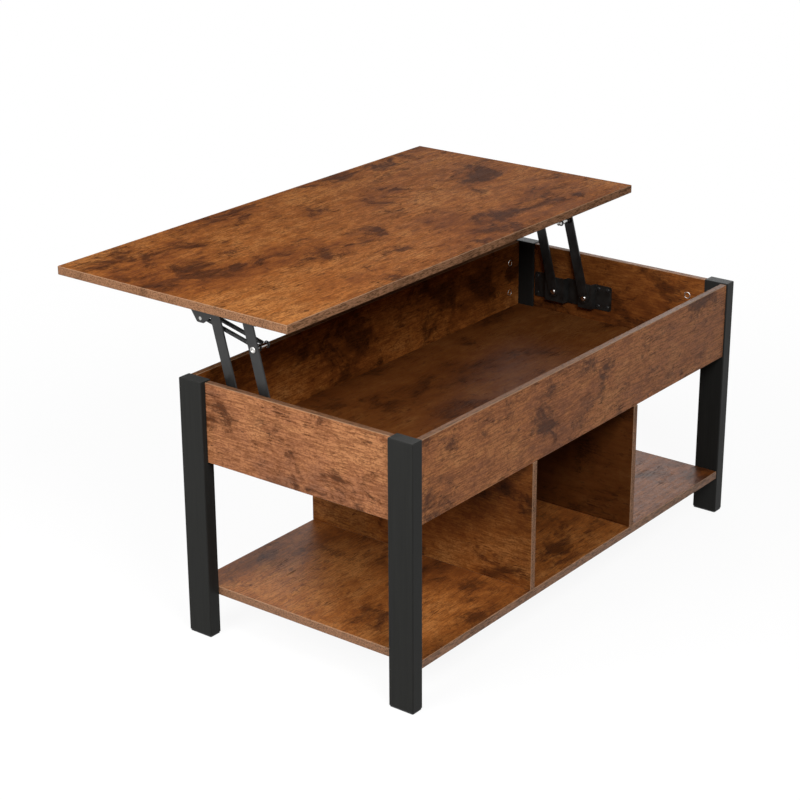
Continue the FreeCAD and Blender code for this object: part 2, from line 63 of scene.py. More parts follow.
# Cam locks
CAM_RADIUS = 0.0066
CAM_RING_WIDTH = 0.26 * CAM_RADIUS
CAM_PROUD = 0.0009
CAM_SUNK = 0.003
CAM_SETBACK = 0.031
CAM_END_SETBACK = 0.036
CAM_TOP_DROP = 0.037
CAM_BOTTOM_RISE = 0.0425

# Screws, and the strips of steel that they hold
SCREW_HEAD_RADIUS = 0.0036
SCREW_HEAD_HEIGHT = 0.002
SCREW_SHANK_LENGTH = 0.004
SCREW_SHANK_RADIUS = 0.0019
BRACKET_STRIP = 0.002
BRACKET_HOLE_EDGE = 0.007
BRACKET_REAR_FLAT = 0.035
RAIL_STRIP = 0.0025
RAIL_HOLE_INSET = 0.012
DIVIDER_SCREW_INSET = 0.06

# Rivets and spring pins
RIVET_HEAD_RADIUS = 0.0055
RIVET_HEAD_HEIGHT = 0.0024
RIVET_TAIL_RADIUS = 0.005
RIVET_TAIL_HEIGHT = 0.002
RIVET_SHANK_RADIUS = 0.003
SHANK_BITE = 0.2 * RIVET_HEAD_HEIGHT
PIN_RADIUS = 0.004
PIN_OVERHANG = 0.002

# Springs
SPRING_RADIUS = 0.0038
SPRING_SPACING = 0.0194
SPRING_TURNS = 37
SPRING_STEPS = 16
WIRE_RADIUS = 0.00105
WIRE_SIDES = 8
EYE_STEPS = 32
EYE_GAP = 0.0003

# Neighbouring faces that meet at less than this, in radians, are shaded as one
FITTING_SMOOTHNESS = 0.6
WIRE_SMOOTHNESS = 1.2

joints = {joint["name"]: joint for joint in frame["joints"]}


# Node materials

# A colour mix has sockets of one name for each kind of data, so these are told apart by number
MIX_FACTOR, MIX_UNDER, MIX_OVER, MIX_RESULT = 0, 6, 7, 2


def solid(colour):
    """A colour with nothing showing through it."""
    return (*colour, 1.0)


class Finish:
    """A node material that is being put together."""

    def __init__(self, name):
        self.material = bpy.data.materials.new(name)
        self.material.use_nodes = True
        self.tree = self.material.node_tree
        self.surface = self.tree.nodes["Principled BSDF"]

    def feed(self, node, socket, value):
        """Link an output to a socket, or set the socket to a plain value."""
        target = node.inputs[socket]
        if isinstance(value, bpy.types.NodeSocket):
            self.tree.links.new(value, target)
        else:
            target.default_value = value

    def add(self, kind, sockets=None, **settings):
        node = self.tree.nodes.new(kind)
        for key, value in settings.items():
            setattr(node, key, value)
        for socket, value in (sockets or {}).items():
            self.feed(node, socket, value)
        return node

    def paint(self, sockets):
        for socket, value in sockets.items():
            self.feed(self.surface, socket, value)
        return self.material

    def coordinates(self, output="Object"):
        return self.add("ShaderNodeTexCoord").outputs[output]

    def stretched(self, vector, scale, shift=(0, 0, 0), turn=0.0):
        """Coordinates turned about Z, then moved and scaled."""
        turned = self.add("ShaderNodeMapping", {
            "Vector": vector, "Rotation": (0, 0, turn), "Location": shift,
        })
        return self.add("ShaderNodeMapping", {"Vector": turned.outputs[0], "Scale": scale}).outputs[0]

    def noise(self, vector, detail=3.0, roughness=0.5, distortion=0.0):
        return self.add("ShaderNodeTexNoise", {
            "Vector": vector, "Scale": 1.0,
            "Detail": detail, "Roughness": roughness, "Distortion": distortion,
        }).outputs[0]

    def even_noise(self, vector, waves, detail, roughness=0.5):
        """Noise with as many waves a metre in every direction."""
        return self.noise(self.stretched(vector, (waves, waves, waves)), detail, roughness)

    def between(self, value, low, high, floor=0.0, ceiling=1.0):
        """A value taken from one range to another, and held at its ends."""
        return self.add("ShaderNodeMapRange", {
            "Value": value, "From Min": low, "From Max": high, "To Min": floor, "To Max": ceiling,
        }, interpolation_type="SMOOTHSTEP").outputs[0]

    def calculate(self, operation, first, second=0.0):
        return self.add("ShaderNodeMath", {0: first, 1: second}, operation=operation).outputs[0]

    def weighted(self, *shares):
        """The sum of values, each times its own share."""
        parts = [self.calculate("MULTIPLY", value, share) for value, share in shares]
        total = parts[0]
        for part in parts[1:]:
            total = self.calculate("ADD", total, part)
        return total

    def blend(self, factor, under, over):
        sockets = {MIX_FACTOR: factor, MIX_UNDER: under, MIX_OVER: over}
        return self.add("ShaderNodeMix", sockets, data_type="RGBA").outputs[MIX_RESULT]

    def stain(self, under, mask, colour, strength):
        """Lay a colour over another where the mask is, as strongly as asked."""
        return self.blend(self.calculate("MULTIPLY", mask, strength), under, solid(colour))

    def ramp(self, value, stops):
        node = self.add("ShaderNodeValToRGB", {"Fac": value})
        elements = node.color_ramp.elements
        while len(elements) < len(stops):
            elements.new(0.5)
        for element, (place, colour) in zip(elements, stops):
            element.position = place
            element.color = solid(colour)
        return node.outputs[0]

    def bump(self, height, strength, distance):
        return self.add("ShaderNodeBump", {
            "Height": height, "Strength": strength, "Distance": distance,
        }).outputs[0]


# Rustic laminate: its colours
BURNT = (0.026, 0.0080, 0.0028)
UMBER = (0.100, 0.028, 0.0066)
CHESTNUT = (0.222, 0.065, 0.0128)
AMBER = (0.335, 0.110, 0.0225)
HONEY = (0.452, 0.178, 0.048)
# A pale pink that paints the sheen of the panels facing the main light into their colour
PAINTED_SHEEN_PINK = (0.400, 0.205, 0.125)
PALE_BAND = (0.285, 0.142, 0.075)
DARK_BAND = (0.150, 0.068, 0.032)
EDGE_FLECK = (0.050, 0.024, 0.012)
# The pale colour of a painted highlight along the rims of the boards
PAINTED_RIM_HIGHLIGHT = (0.360, 0.220, 0.130)

# Its layers of noise: waves a metre along and across the grain, then detail, roughness and distortion
STREAK = (9.0, 170.0, 4.0, 0.6, 0.2)
MOTTLE = (30.0, 48.0, 7.0, 0.66, 0.4)
TONE = (4.0, 7.0, 3.0, 0.55, 0.0)
CLOUD = (9.0, 13.0, 13.0, 0.70, 0.4)
DAB = (36.0, 54.0, 8.0, 0.68, 0.4)
DASH = (46.0, 150.0, 5.0, 0.72, 0.6)
CRACK = (34.0, 400.0, 3.0, 0.7, 0.5)
FIBRE = (38.0, 430.0, 4.0, 0.68, 0.0)
SPECK = (240.0, 330.0, 2.0, 0.6, 0.0)
FLECK = (90.0, 450.0, 4.0, 0.7, 0.5)

# The share of a normal along an axis where a face begins to count as square to it, and where it fully does
SLANTED, SQUARE_ON = 0.80, 0.90


class Laminate(Finish):
    """A board's finish: printed rustic wood on its faces and a flecked band round its edges."""

    def __init__(self, name, turn, shift):
        super().__init__(name)
        self.place = self.coordinates()
        self.turn = turn
        self.shift = shift
        self.streak = self.layer(STREAK)
        self.tone = self.layer(TONE)
        self.cloud = self.layer(CLOUD)
        feathered = self.weighted((self.cloud, 1.0), (self.streak, 0.12), (self.tone, -0.24))
        self.smudge = self.between(feathered, 0.455, 0.57)
        near_cloud = self.between(self.cloud, 0.42, 0.58, floor=0.20)
        self.crack = self.calculate("MULTIPLY", self.between(self.layer(CRACK), 0.57, 0.612), near_cloud)

    def layer(self, values):
        along, across, detail, roughness, distortion = values
        space = self.stretched(self.place, (along, across, across), self.shift, self.turn)
        return self.noise(space, detail, roughness, distortion)

    def wood(self, painted_shade, painted_sheen):
        """Warm mottled brown, paled by a painted sheen and darkened by painted shade, under burnt smudges,
        small dabs and dashes, cracks, fibres and specks.
        """
        warmth = self.weighted((self.layer(MOTTLE), 0.42), (self.streak, 0.14), (self.tone, 0.54))
        wood = self.ramp(warmth, [(0.40, UMBER), (0.48, CHESTNUT), (0.565, AMBER), (0.67, HONEY)])
        # Painted sheen: the wood is paled toward a pale pink, as if it caught the light
        wood = self.blend(painted_sheen, wood, solid(PAINTED_SHEEN_PINK))
        # Painted shade: the whole board is blended toward burnt brown, as far as its painted shade value asks
        wood = self.blend(painted_shade, wood, solid(BURNT))
        wood = self.stain(wood, self.smudge, BURNT, strength=0.91)
        wood = self.stain(wood, self.between(self.layer(DAB), 0.59, 0.66), BURNT, strength=0.66)
        wood = self.stain(wood, self.between(self.layer(DASH), 0.53, 0.62), UMBER, strength=0.52)
        wood = self.stain(wood, self.crack, BURNT, strength=0.86)
        wood = self.stain(wood, self.between(self.layer(FIBRE), 0.44, 0.60), UMBER, strength=0.55)
        return self.stain(wood, self.between(self.layer(SPECK), 0.49, 0.63), UMBER, strength=0.42)

    def band(self, edge):
        """The edge band: its colour under fine dark flecks, darker where the wood beside it is smudged."""
        fleck = self.between(self.layer(FLECK), 0.46, 0.60)
        band = self.stain(solid(edge), fleck, EDGE_FLECK, strength=0.75)
        return self.stain(band, self.smudge, EDGE_FLECK, strength=0.45)

    def board(self, face, wood, band):
        """Wood on the two broad faces, the band on the edges, and a painted highlight on the rim where they
        meet.
        """
        normal = self.add("ShaderNodeSeparateXYZ", {"Vector": self.coordinates("Normal")})
        x, y, z = [self.calculate("ABSOLUTE", part) for part in normal.outputs]
        on_face = self.between({"X": x, "Y": y, "Z": z}[face], SLANTED, SQUARE_ON)
        squarest = self.calculate("MAXIMUM", self.calculate("MAXIMUM", x, y), z)
        painted_highlight_rim = self.between(squarest, SLANTED, SQUARE_ON, floor=1.0, ceiling=0.0)
        # Painted highlight: the slanted rim is paled as if it caught the light
        return self.stain(self.blend(on_face, band, wood), painted_highlight_rim, PAINTED_RIM_HIGHLIGHT, strength=0.5)

    def gloss(self):
        """Roughness: silky along the streaks and dull in the cracks."""
        silk = self.between(self.streak, 0.3, 0.7, floor=0.38, ceiling=0.48)
        return self.calculate("ADD", silk, self.calculate("MULTIPLY", self.crack, 0.2))

    def relief(self):
        return self.weighted((self.streak, 0.5), (self.crack, -1.0))


def rustic_laminate(name, turn, shift, face, edge, painted_shade=0.0, painted_sheen=0.0, sheen=0.06):
    """The finish of one board, from its own part of the print."""
    finish = Laminate(name, turn, shift)
    return finish.paint({
        "Base Color": finish.board(face, finish.wood(painted_shade, painted_sheen), finish.band(edge)),
        "Roughness": finish.gloss(),
        "Specular IOR Level": sheen,
        "Normal": finish.bump(finish.relief(), strength=0.25, distance=0.0006),
    })


def black_post_finish():
    """Satin black foil over the posts, with a faint drawn texture along their height."""
    finish = Finish("black_post_finish")
    place = finish.coordinates()
    drawn = finish.noise(finish.stretched(place, (260.0, 260.0, 9.0)), 4.0, 0.6)
    speck = finish.even_noise(place, waves=900.0, detail=2.0)
    relief = finish.calculate("ADD", finish.calculate("MULTIPLY", drawn, 0.4), speck)
    return finish.paint({
        "Base Color": finish.ramp(drawn, [(0.3, (0.0148, 0.0148, 0.0138)), (0.7, (0.0182, 0.0182, 0.0170))]),
        "Roughness": finish.between(drawn, 0.3, 0.7, floor=0.36, ceiling=0.48),
        "Specular IOR Level": 0.07,
        "Normal": finish.bump(relief, strength=0.05, distance=0.0003),
    })


def pad_finish():
    """Moulded plastic pads with a fine grain."""
    finish = Finish("pad_finish")
    grain = finish.even_noise(finish.coordinates(), waves=1400.0, detail=2.0)
    return finish.paint({
        "Base Color": finish.ramp(grain, [(0.3, (0.010, 0.010, 0.010)), (0.7, (0.022, 0.022, 0.022))]),
        "Roughness": finish.between(grain, 0.3, 0.7, floor=0.55, ceiling=0.75),
        "Normal": finish.bump(grain, strength=0.2, distance=0.0002),
    })


def coated_steel_finish(name, dark, light, rough):
    """Black coating with the slight ripple of sprayed paint."""
    finish = Finish(name)
    place = finish.coordinates()
    ripple = finish.even_noise(place, waves=520.0, detail=2.0)
    wear = finish.even_noise(place, waves=60.0, detail=4.0, roughness=0.65)
    return finish.paint({
        "Base Color": finish.ramp(wear, [(0.35, dark), (0.7, light)]),
        "Roughness": finish.between(wear, 0.3, 0.7, floor=rough, ceiling=rough + 0.14),
        "Specular IOR Level": 0.5,
        "Normal": finish.bump(ripple, strength=0.12, distance=0.0002),
    })


def bright_steel_finish(name, light, rough):
    """Plated steel with fine turning marks and a little tarnish."""
    finish = Finish(name)
    place = finish.coordinates()
    tarnish = finish.even_noise(place, waves=180.0, detail=4.0, roughness=0.6)
    marks = finish.noise(finish.stretched(place, (300.0, 3200.0, 3200.0)), detail=2.0)
    tarnished = tuple(value * 0.72 for value in light)
    return finish.paint({
        "Base Color": finish.ramp(tarnish, [(0.3, tarnished), (0.65, light)]),
        "Metallic": 1.0,
        "Roughness": finish.between(tarnish, 0.3, 0.7, floor=rough, ceiling=rough + 0.15),
        "Normal": finish.bump(marks, strength=0.06, distance=0.0001),
    })


BLACK_POST = black_post_finish()
PAD = pad_finish()
COATED = coated_steel_finish("coated_steel_finish", (0.0065, 0.0065, 0.0062), (0.015, 0.015, 0.0142), 0.34)
SPRING = coated_steel_finish("spring_finish", (0.010, 0.010, 0.010), (0.028, 0.028, 0.027), 0.26)
BLACK_SCREW = coated_steel_finish("black_screw_finish", (0.012, 0.012, 0.012), (0.03, 0.03, 0.03), 0.28)
BRIGHT = bright_steel_finish("bright_steel_finish", (0.66, 0.65, 0.63), 0.20)
ZINC = bright_steel_finish("zinc_finish", (0.72, 0.71, 0.69), 0.30)

# Every board has its own part of the print, with the grain along its length.
# Several boards are darkened all over by painted shade, and the front and left end panels
# are paled by a painted sheen
ALONG_X = 0.0
ALONG_Y = -QUARTER_TURN
BOARDS = {
    "tabletop": dict(turn=ALONG_X, shift=(0.31, 0.12, 0.0), face="Z", edge=PALE_BAND, sheen=0.004),
    "front_panel": dict(turn=ALONG_X, shift=(1.70, 0.40, 0.35), face="Y", edge=DARK_BAND,
                        painted_sheen=0.20, sheen=0.10),
    "back_panel": dict(turn=ALONG_X, shift=(4.10, 1.30, 0.20), face="Y", edge=DARK_BAND,
                       painted_shade=0.05, sheen=0.0),
    "left_end_panel": dict(turn=ALONG_Y, shift=(2.60, 3.10, 0.65), face="X", edge=DARK_BAND,
                           painted_sheen=0.40, sheen=0.10),
    # The right end panel takes the pale band as a painted highlight along its top edge
    "right_end_panel": dict(turn=ALONG_Y, shift=(5.30, 0.90, 0.15), face="X", edge=PALE_BAND,
                            painted_shade=0.36, sheen=0.08),
    "box_floor": dict(turn=ALONG_X, shift=(3.20, 2.10, 0.0), face="Z", edge=DARK_BAND,
                      painted_shade=0.66, sheen=0.03),
    "lower_shelf": dict(turn=ALONG_X, shift=(6.40, 1.60, 0.0), face="Z", edge=PALE_BAND,
                        painted_shade=0.15, sheen=0.17),
    "left_divider": dict(turn=ALONG_Y, shift=(7.30, 2.70, 0.10), face="X", edge=PALE_BAND, painted_shade=0.26),
    "right_divider": dict(turn=ALONG_Y, shift=(8.20, 0.30, 0.80), face="X", edge=PALE_BAND, painted_shade=0.74),
}


def dress(node, material):
    """Give a solid from the frame its finish."""
    slots = frame["nodes"][node].data.materials
    slots.clear()
    slots.append(material)


def dress_solids():
    for node, board in BOARDS.items():
        dress(node, rustic_laminate(f"{node}_laminate", **board))
    for node in frame["nodes"]:
        if node.endswith("_leg"):
            dress(node, BLACK_POST)
        elif node.endswith(("_bracket", "_arm", "_rail")):
            dress(node, COATED)
    dress("foot_pads", PAD)


# Modelling helpers

def start_piece():
    """Leave edit mode and let go of everything that is selected."""
    if bpy.context.mode != "OBJECT":
        bpy.ops.object.mode_set(mode="OBJECT")
    bpy.ops.object.select_all(action="DESELECT")


def select(*pieces):
    start_piece()
    for piece in pieces:
        piece.select_set(True)
    bpy.context.view_layer.objects.active = pieces[-1]


def settled():
    """The active piece, with its place, turn and size taken into its mesh."""
    bpy.ops.object.transform_apply(location=True, rotation=True, scale=True)
    return bpy.context.active_object


def cylinder(radius, bottom, top, vertices=32):
    """A round bar along Z between two heights."""
    start_piece()
    bpy.ops.mesh.primitive_cylinder_add(vertices=vertices, radius=radius, depth=top - bottom,
                                        location=(0, 0, (bottom + top) / 2))
    return settled()


def slab(size, centre):
    start_piece()
    bpy.ops.mesh.primitive_cube_add(size=1, location=centre)
    bpy.context.active_object.scale = size
    return settled()


def pick_faces(piece, wanted):
    """In edit mode, select only the faces that the test wants."""
    select(piece)
    bpy.ops.object.mode_set(mode="EDIT")
    bpy.ops.mesh.select_mode(type="FACE")
    mesh = bmesh.from_edit_mesh(piece.data)
    for face in mesh.faces:
        face.select_set(wanted(face))
    bmesh.update_edit_mesh(piece.data)


def pick_edges(piece, wanted):
    """In edit mode, select only the edges whose ends both pass the test."""
    select(piece)
    bpy.ops.object.mode_set(mode="EDIT")
    bpy.ops.mesh.select_mode(type="EDGE")
    bpy.ops.mesh.select_all(action="DESELECT")
    mesh = bmesh.from_edit_mesh(piece.data)
    for edge in mesh.edges:
        edge.select_set(all(wanted(corner.co) for corner in edge.verts))
    bmesh.update_edit_mesh(piece.data)


def ease_rim(piece, height, radius, width, segments):
    """Round the rim of a round face at one height."""
    near = width / 100

    def painted_highlight_rim(place):
        return abs(place.z - height) < near and abs(math.hypot(place.x, place.y) - radius) < near

    pick_edges(piece, painted_highlight_rim)
    bpy.ops.mesh.bevel(offset=width, offset_type="OFFSET", segments=segments, profile=0.5)
    start_piece()


def dish(piece, height, inset, depth):
    """Sink the middle of a flat end face."""
    near = depth / 100
    pick_faces(piece, lambda face: face.normal.z > 0.9 and abs(face.calc_center_median().z - height) < near)
    bpy.ops.mesh.inset(thickness=inset)
    bpy.ops.mesh.extrude_region_move(TRANSFORM_OT_translate={"value": (0, 0, -depth)})
    start_piece()


def turn_under(piece, depth):
    """Turn a piece over, so that it hangs down from a depth below zero."""
    piece.data.transform(Matrix.Translation((0, 0, -depth)) @ Matrix.Rotation(HALF_TURN, 4, "X"))


def joined(name, pieces):
    """Make one piece of several."""
    select(*pieces)
    if len(pieces) > 1:
        bpy.ops.object.join()
    piece = bpy.context.active_object
    piece.name = name
    piece.data.name = name
    return piece


def subtract(piece, cutter):
    """Cut one closed shape out of another, and delete the cutter."""
    select(piece)
    modifier = piece.modifiers.new("cut", "BOOLEAN")
    modifier.operation = "DIFFERENCE"
    modifier.solver = "EXACT"
    modifier.object = cutter
    bpy.ops.object.modifier_apply(modifier="cut")
    bpy.data.objects.remove(cutter, do_unlink=True)


def smooth(piece, angle=FITTING_SMOOTHNESS):
    select(piece)
    bpy.ops.object.shade_smooth_by_angle(angle=angle)
    start_piece()
    return piece


def copies(pattern, places):
    """Copies of a pattern, each with its own mesh, stood along a direction at a place."""
    made = []
    for place, direction in places:
        copy = pattern.copy()
        copy.data = pattern.data.copy()
        bpy.context.collection.objects.link(copy)
        turn = Vector((0, 0, 1)).rotation_difference(Vector(direction)).to_matrix().to_4x4()
        copy.data.transform(Matrix.Translation(place) @ turn)
        made.append(copy)
    bpy.data.objects.remove(pattern, do_unlink=True)
    return made


def set_out(name, pattern, places, material, body, replaced=()):
    """Set out copies of a pattern as one piece, with its finish and the body that it moves with."""
    piece = joined(name, copies(pattern, places))
    piece.data.materials.clear()
    piece.data.materials.append(material)
    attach(piece, body)
    if replaced:
        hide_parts(*replaced)
    return piece


# Cam locks and screws

def cut_cross(piece, arm, width, bottom, top):
    """Cut a driver's cross into the end of a piece."""
    middle = (0, 0, (bottom + top) / 2)
    subtract(piece, slab((arm, width, top - bottom), middle))
    subtract(piece, slab((width, arm, top - bottom), middle))


def cam_lock():
    """A cam disc along Z: a raised round ring, a sunk face and a driver's cross."""
    disc = cylinder(CAM_RADIUS, -CAM_SUNK, CAM_PROUD, vertices=40)
    dish(disc, CAM_PROUD, inset=CAM_RING_WIDTH, depth=CAM_PROUD * 1.4)
    ease_rim(disc, CAM_PROUD, CAM_RADIUS, width=CAM_PROUD * 0.8, segments=4)
    ease_rim(disc, CAM_PROUD, CAM_RADIUS - CAM_RING_WIDTH, width=CAM_PROUD * 0.6, segments=3)
    cut_cross(disc, arm=CAM_RADIUS * 1.05, width=CAM_RADIUS * 0.24, bottom=-CAM_SUNK * 0.8, top=CAM_PROUD * 3)
    return smooth(disc)


def make_cam_locks():
    """Cam discs on the inner faces of the box panels and under the lower shelf."""
    panel_low, panel_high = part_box("back_panel")
    end_low, end_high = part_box("right_end_panel")
    places = []
    for side in SIDES:
        for end in SIDES:
            for z in (panel_high.z - CAM_TOP_DROP, panel_low.z + CAM_BOTTOM_RISE):
                places.append(((end * (panel_high.x - CAM_SETBACK), side * panel_low.y, z), (0, -side, 0)))
                places.append(((side * end_low.x, end * (end_high.y - CAM_END_SETBACK), z), (-side, 0, 0)))
    set_out("box_cam_locks", cam_lock(), places, ZINC, "base")

    shelf_low, shelf_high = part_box("lower_shelf")
    leg_low, leg_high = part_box("right_back_leg")
    leg_middle = (leg_low.y + leg_high.y) / 2
    places = [((end * (shelf_high.x - CAM_SETBACK), side * leg_middle, shelf_low.z), (0, 0, -1))
              for end in SIDES for side in SIDES]
    set_out("shelf_cam_locks", cam_lock(), places, ZINC, "base")


def pan_screw():
    """A pan-head screw along Z: the head's underside is at zero."""
    head = cylinder(SCREW_HEAD_RADIUS, 0, SCREW_HEAD_HEIGHT)
    ease_rim(head, SCREW_HEAD_HEIGHT, SCREW_HEAD_RADIUS, width=SCREW_HEAD_HEIGHT * 0.7, segments=5)
    cut_cross(head, arm=SCREW_HEAD_RADIUS * 1.1, width=SCREW_HEAD_RADIUS * 0.28,
              bottom=SCREW_HEAD_HEIGHT * 0.35, top=SCREW_HEAD_HEIGHT * 1.5)
    shank = cylinder(SCREW_SHANK_RADIUS, -SCREW_SHANK_LENGTH, SCREW_HEAD_HEIGHT * 0.2, vertices=20)
    return smooth(joined("pan_screw", [head, shank]))


def make_screws():
    """Screws of the base brackets and the top rails, and those that come up into the dividers."""
    low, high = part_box("right_base_bracket")
    rear_flat_end = low.y + BRACKET_REAR_FLAT
    stations = (low.y + BRACKET_HOLE_EDGE, rear_flat_end - BRACKET_HOLE_EDGE, high.y - BRACKET_HOLE_EDGE)
    heights = (low.z + BRACKET_HOLE_EDGE, high.z - BRACKET_HOLE_EDGE)
    places = [((side * (high.x - BRACKET_STRIP), y, z), (-side, 0, 0))
              for side in SIDES for y in stations for z in heights]
    set_out("bracket_screws", pan_screw(), places, BLACK_SCREW, "base")

    low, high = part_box("right_top_rail")
    middle = (low.x + high.x) / 2
    places = [((side * middle, y, high.z - RAIL_STRIP), (0, 0, -1))
              for side in SIDES for y in (low.y + RAIL_HOLE_INSET, high.y - RAIL_HOLE_INSET)]
    set_out("rail_screws", pan_screw(), places, BLACK_SCREW, "lift_top")

    shelf_low, shelf_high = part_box("lower_shelf")
    low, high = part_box("right_divider")
    middle = (low.x + high.x) / 2
    places = [((side * middle, end * (shelf_high.y - DIVIDER_SCREW_INSET), shelf_low.z), (0, 0, -1))
              for side in SIDES for end in SIDES]
    set_out("divider_screws", pan_screw(), places, BLACK_SCREW, "base")


# Rivets and spring pins

def rivet(grip):
    """A rivet along Z: a domed head above zero, the shank below it and the closed tail at its end."""
    head = cylinder(RIVET_HEAD_RADIUS, 0, RIVET_HEAD_HEIGHT, vertices=40)
    ease_rim(head, RIVET_HEAD_HEIGHT, RIVET_HEAD_RADIUS, width=RIVET_HEAD_HEIGHT * 0.92, segments=7)
    shank = cylinder(RIVET_SHANK_RADIUS, -grip, SHANK_BITE, vertices=28)
    tail = cylinder(RIVET_TAIL_RADIUS, 0, RIVET_TAIL_HEIGHT, vertices=36)
    ease_rim(tail, RIVET_TAIL_HEIGHT, RIVET_TAIL_RADIUS, width=RIVET_TAIL_HEIGHT * 0.6, segments=5)
    dish(tail, RIVET_TAIL_HEIGHT, inset=RIVET_TAIL_RADIUS * 0.16, depth=RIVET_TAIL_HEIGHT * 0.35)
    turn_under(tail, grip)
    return smooth(joined("rivet", [head, shank, tail]))


def rivet_rows(node):
    """Where a group of rivets stands along Y, in two rows, and its height."""
    low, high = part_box(node)
    return (low.y + RIVET_HEAD_RADIUS, high.y - RIVET_HEAD_RADIUS), (low.z + high.z) / 2


def make_rivets():
    """The pivots at both ends of the arms."""
    rows, z = rivet_rows("base_pivot_rivets")
    arm_low, arm_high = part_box("right_rear_arm")
    hat_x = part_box("right_base_bracket")[0].x
    side_play = hat_x - arm_high.x
    seat = arm_low.x - side_play
    places = [((side * seat, y, z), (-side, 0, 0)) for side in SIDES for y in rows]
    set_out("base_pivots", rivet(hat_x + BRACKET_STRIP - seat), places, BRIGHT, "base",
            ["base_pivot_rivets"])

    rows, z = rivet_rows("top_pivot_rivets")
    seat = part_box("top_pivot_rivets")[1].x - RIVET_HEAD_HEIGHT
    web_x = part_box("right_top_rail")[1].x - RAIL_STRIP
    places = [((side * seat, y, z), (side, 0, 0)) for side in SIDES for y in rows]
    set_out("top_pivots", rivet(seat - web_x), places, BRIGHT, "lift_top",
            ["top_pivot_rivets"])


def pin_axis(node):
    low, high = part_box(node)
    return (low.y + high.y) / 2, (low.z + high.z) / 2


def pin_end_x():
    """Where the right-hand spring pins end, towards the middle of the table."""
    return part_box("lift_springs")[1].x - SPRING_SPACING - 2 * SPRING_RADIUS - PIN_OVERHANG


def pin_shaft(depth, length):
    """The thick part of a spring pin, from a depth below zero down to its eased tip."""
    shaft = cylinder(PIN_RADIUS, 0, length, vertices=36)
    ease_rim(shaft, length, PIN_RADIUS, width=PIN_RADIUS * 0.2, segments=3)
    turn_under(shaft, depth)
    return shaft


def arm_pin(thickness, length):
    """A pin riveted through an arm: a dished head above zero, then the shank and the shaft below it."""
    head = cylinder(RIVET_HEAD_RADIUS, 0, RIVET_HEAD_HEIGHT, vertices=40)
    ease_rim(head, RIVET_HEAD_HEIGHT, RIVET_HEAD_RADIUS, width=RIVET_HEAD_HEIGHT * 0.55, segments=6)
    dish(head, RIVET_HEAD_HEIGHT, inset=RIVET_HEAD_RADIUS * 0.26, depth=RIVET_HEAD_HEIGHT * 0.7)
    shank = cylinder(RIVET_SHANK_RADIUS, -thickness, SHANK_BITE, vertices=28)
    return smooth(joined("arm_pin", [head, shank, pin_shaft(thickness, length - thickness)]))


def lug_pin(length):
    """A pin set flush in a rail's lug."""
    shank = cylinder(RIVET_SHANK_RADIUS, -RAIL_STRIP, 0, vertices=28)
    return smooth(joined("lug_pin", [shank, pin_shaft(RAIL_STRIP, length - RAIL_STRIP)]))


def make_pins():
    """The pins that carry the springs: one through each rear arm, one in each rail's lug."""
    arm_low, arm_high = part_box("right_rear_arm")
    pattern = arm_pin(arm_high.x - arm_low.x, arm_high.x - pin_end_x())
    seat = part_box("arm_spring_pins")[1].x - RIVET_HEAD_HEIGHT
    places = [((side * seat, *pin_axis("arm_spring_pins")), (side, 0, 0)) for side in SIDES]
    set_out("arm_pins", pattern, places, BRIGHT, "rear_arms", ["arm_spring_pins"])

    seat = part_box("lug_spring_pins")[1].x
    places = [((side * seat, *pin_axis("lug_spring_pins")), (side, 0, 0)) for side in SIDES]
    set_out("lug_pins", lug_pin(seat - pin_end_x()), places, BRIGHT, "lift_top",
            ["lug_spring_pins"])


# Springs

def spring_closing(pin, lug, reach):
    """How the coils draw together as the top closes: the end that stays, the direction and the share left."""
    lift = joints["lift"]
    centre = Vector(lift["pos_m"])
    swing = Matrix.Rotation(math.radians(lift["range_deg"][1]), 3, Vector(lift["axis"]))

    def swung(place):
        return centre + swing @ (place - centre)

    top_pivot = Vector(joints["top_level"]["pos_m"])
    closed_pin = swung(pin) - (swung(top_pivot) - top_pivot)
    along = (lug - pin).normalized()
    start, end = pin + along * reach, lug - along * reach
    loss = start - closed_pin - (lug - closed_pin).normalized() * reach
    axis = loss.normalized()
    return end, axis, 1 - loss.length / (start - end).dot(axis)


def wire_section():
    """The round section of the spring wire, where a coil meets its eye."""
    start_piece()
    bpy.ops.mesh.primitive_circle_add(vertices=WIRE_SIDES, radius=WIRE_RADIUS, rotation=(QUARTER_TURN, 0, 0),
                                      location=(SPRING_RADIUS - WIRE_RADIUS, 0, 0))
    return settled()


def spring_coil(length):
    """A close-wound coil that rises along Z from zero."""
    coil = wire_section()
    winding = coil.modifiers.new("winding", "SCREW")
    winding.angle = FULL_TURN
    winding.screw_offset = length / SPRING_TURNS
    winding.iterations = SPRING_TURNS
    winding.steps = SPRING_STEPS
    winding.render_steps = SPRING_STEPS
    bpy.ops.object.modifier_apply(modifier="winding")
    bpy.ops.object.mode_set(mode="EDIT")
    bpy.ops.mesh.select_all(action="SELECT")
    bpy.ops.mesh.fill_holes(sides=WIRE_SIDES)
    bpy.ops.mesh.normals_make_consistent(inside=False)
    return smooth(coil, WIRE_SMOOTHNESS)


def spring_eye(radius, way):
    """The closed loop at one end of a coil, up or down along Z from zero."""
    eye = wire_section()
    bpy.ops.object.mode_set(mode="EDIT")
    bpy.ops.mesh.select_all(action="SELECT")
    bpy.ops.mesh.spin(steps=EYE_STEPS, angle=FULL_TURN, axis=(1, 0, 0),
                      center=(SPRING_RADIUS - WIRE_RADIUS, 0, way * radius))
    bpy.ops.mesh.select_all(action="SELECT")
    bpy.ops.mesh.remove_doubles(threshold=WIRE_RADIUS / 50)
    bpy.ops.mesh.normals_make_consistent(inside=False)
    return smooth(eye, WIRE_SMOOTHNESS)


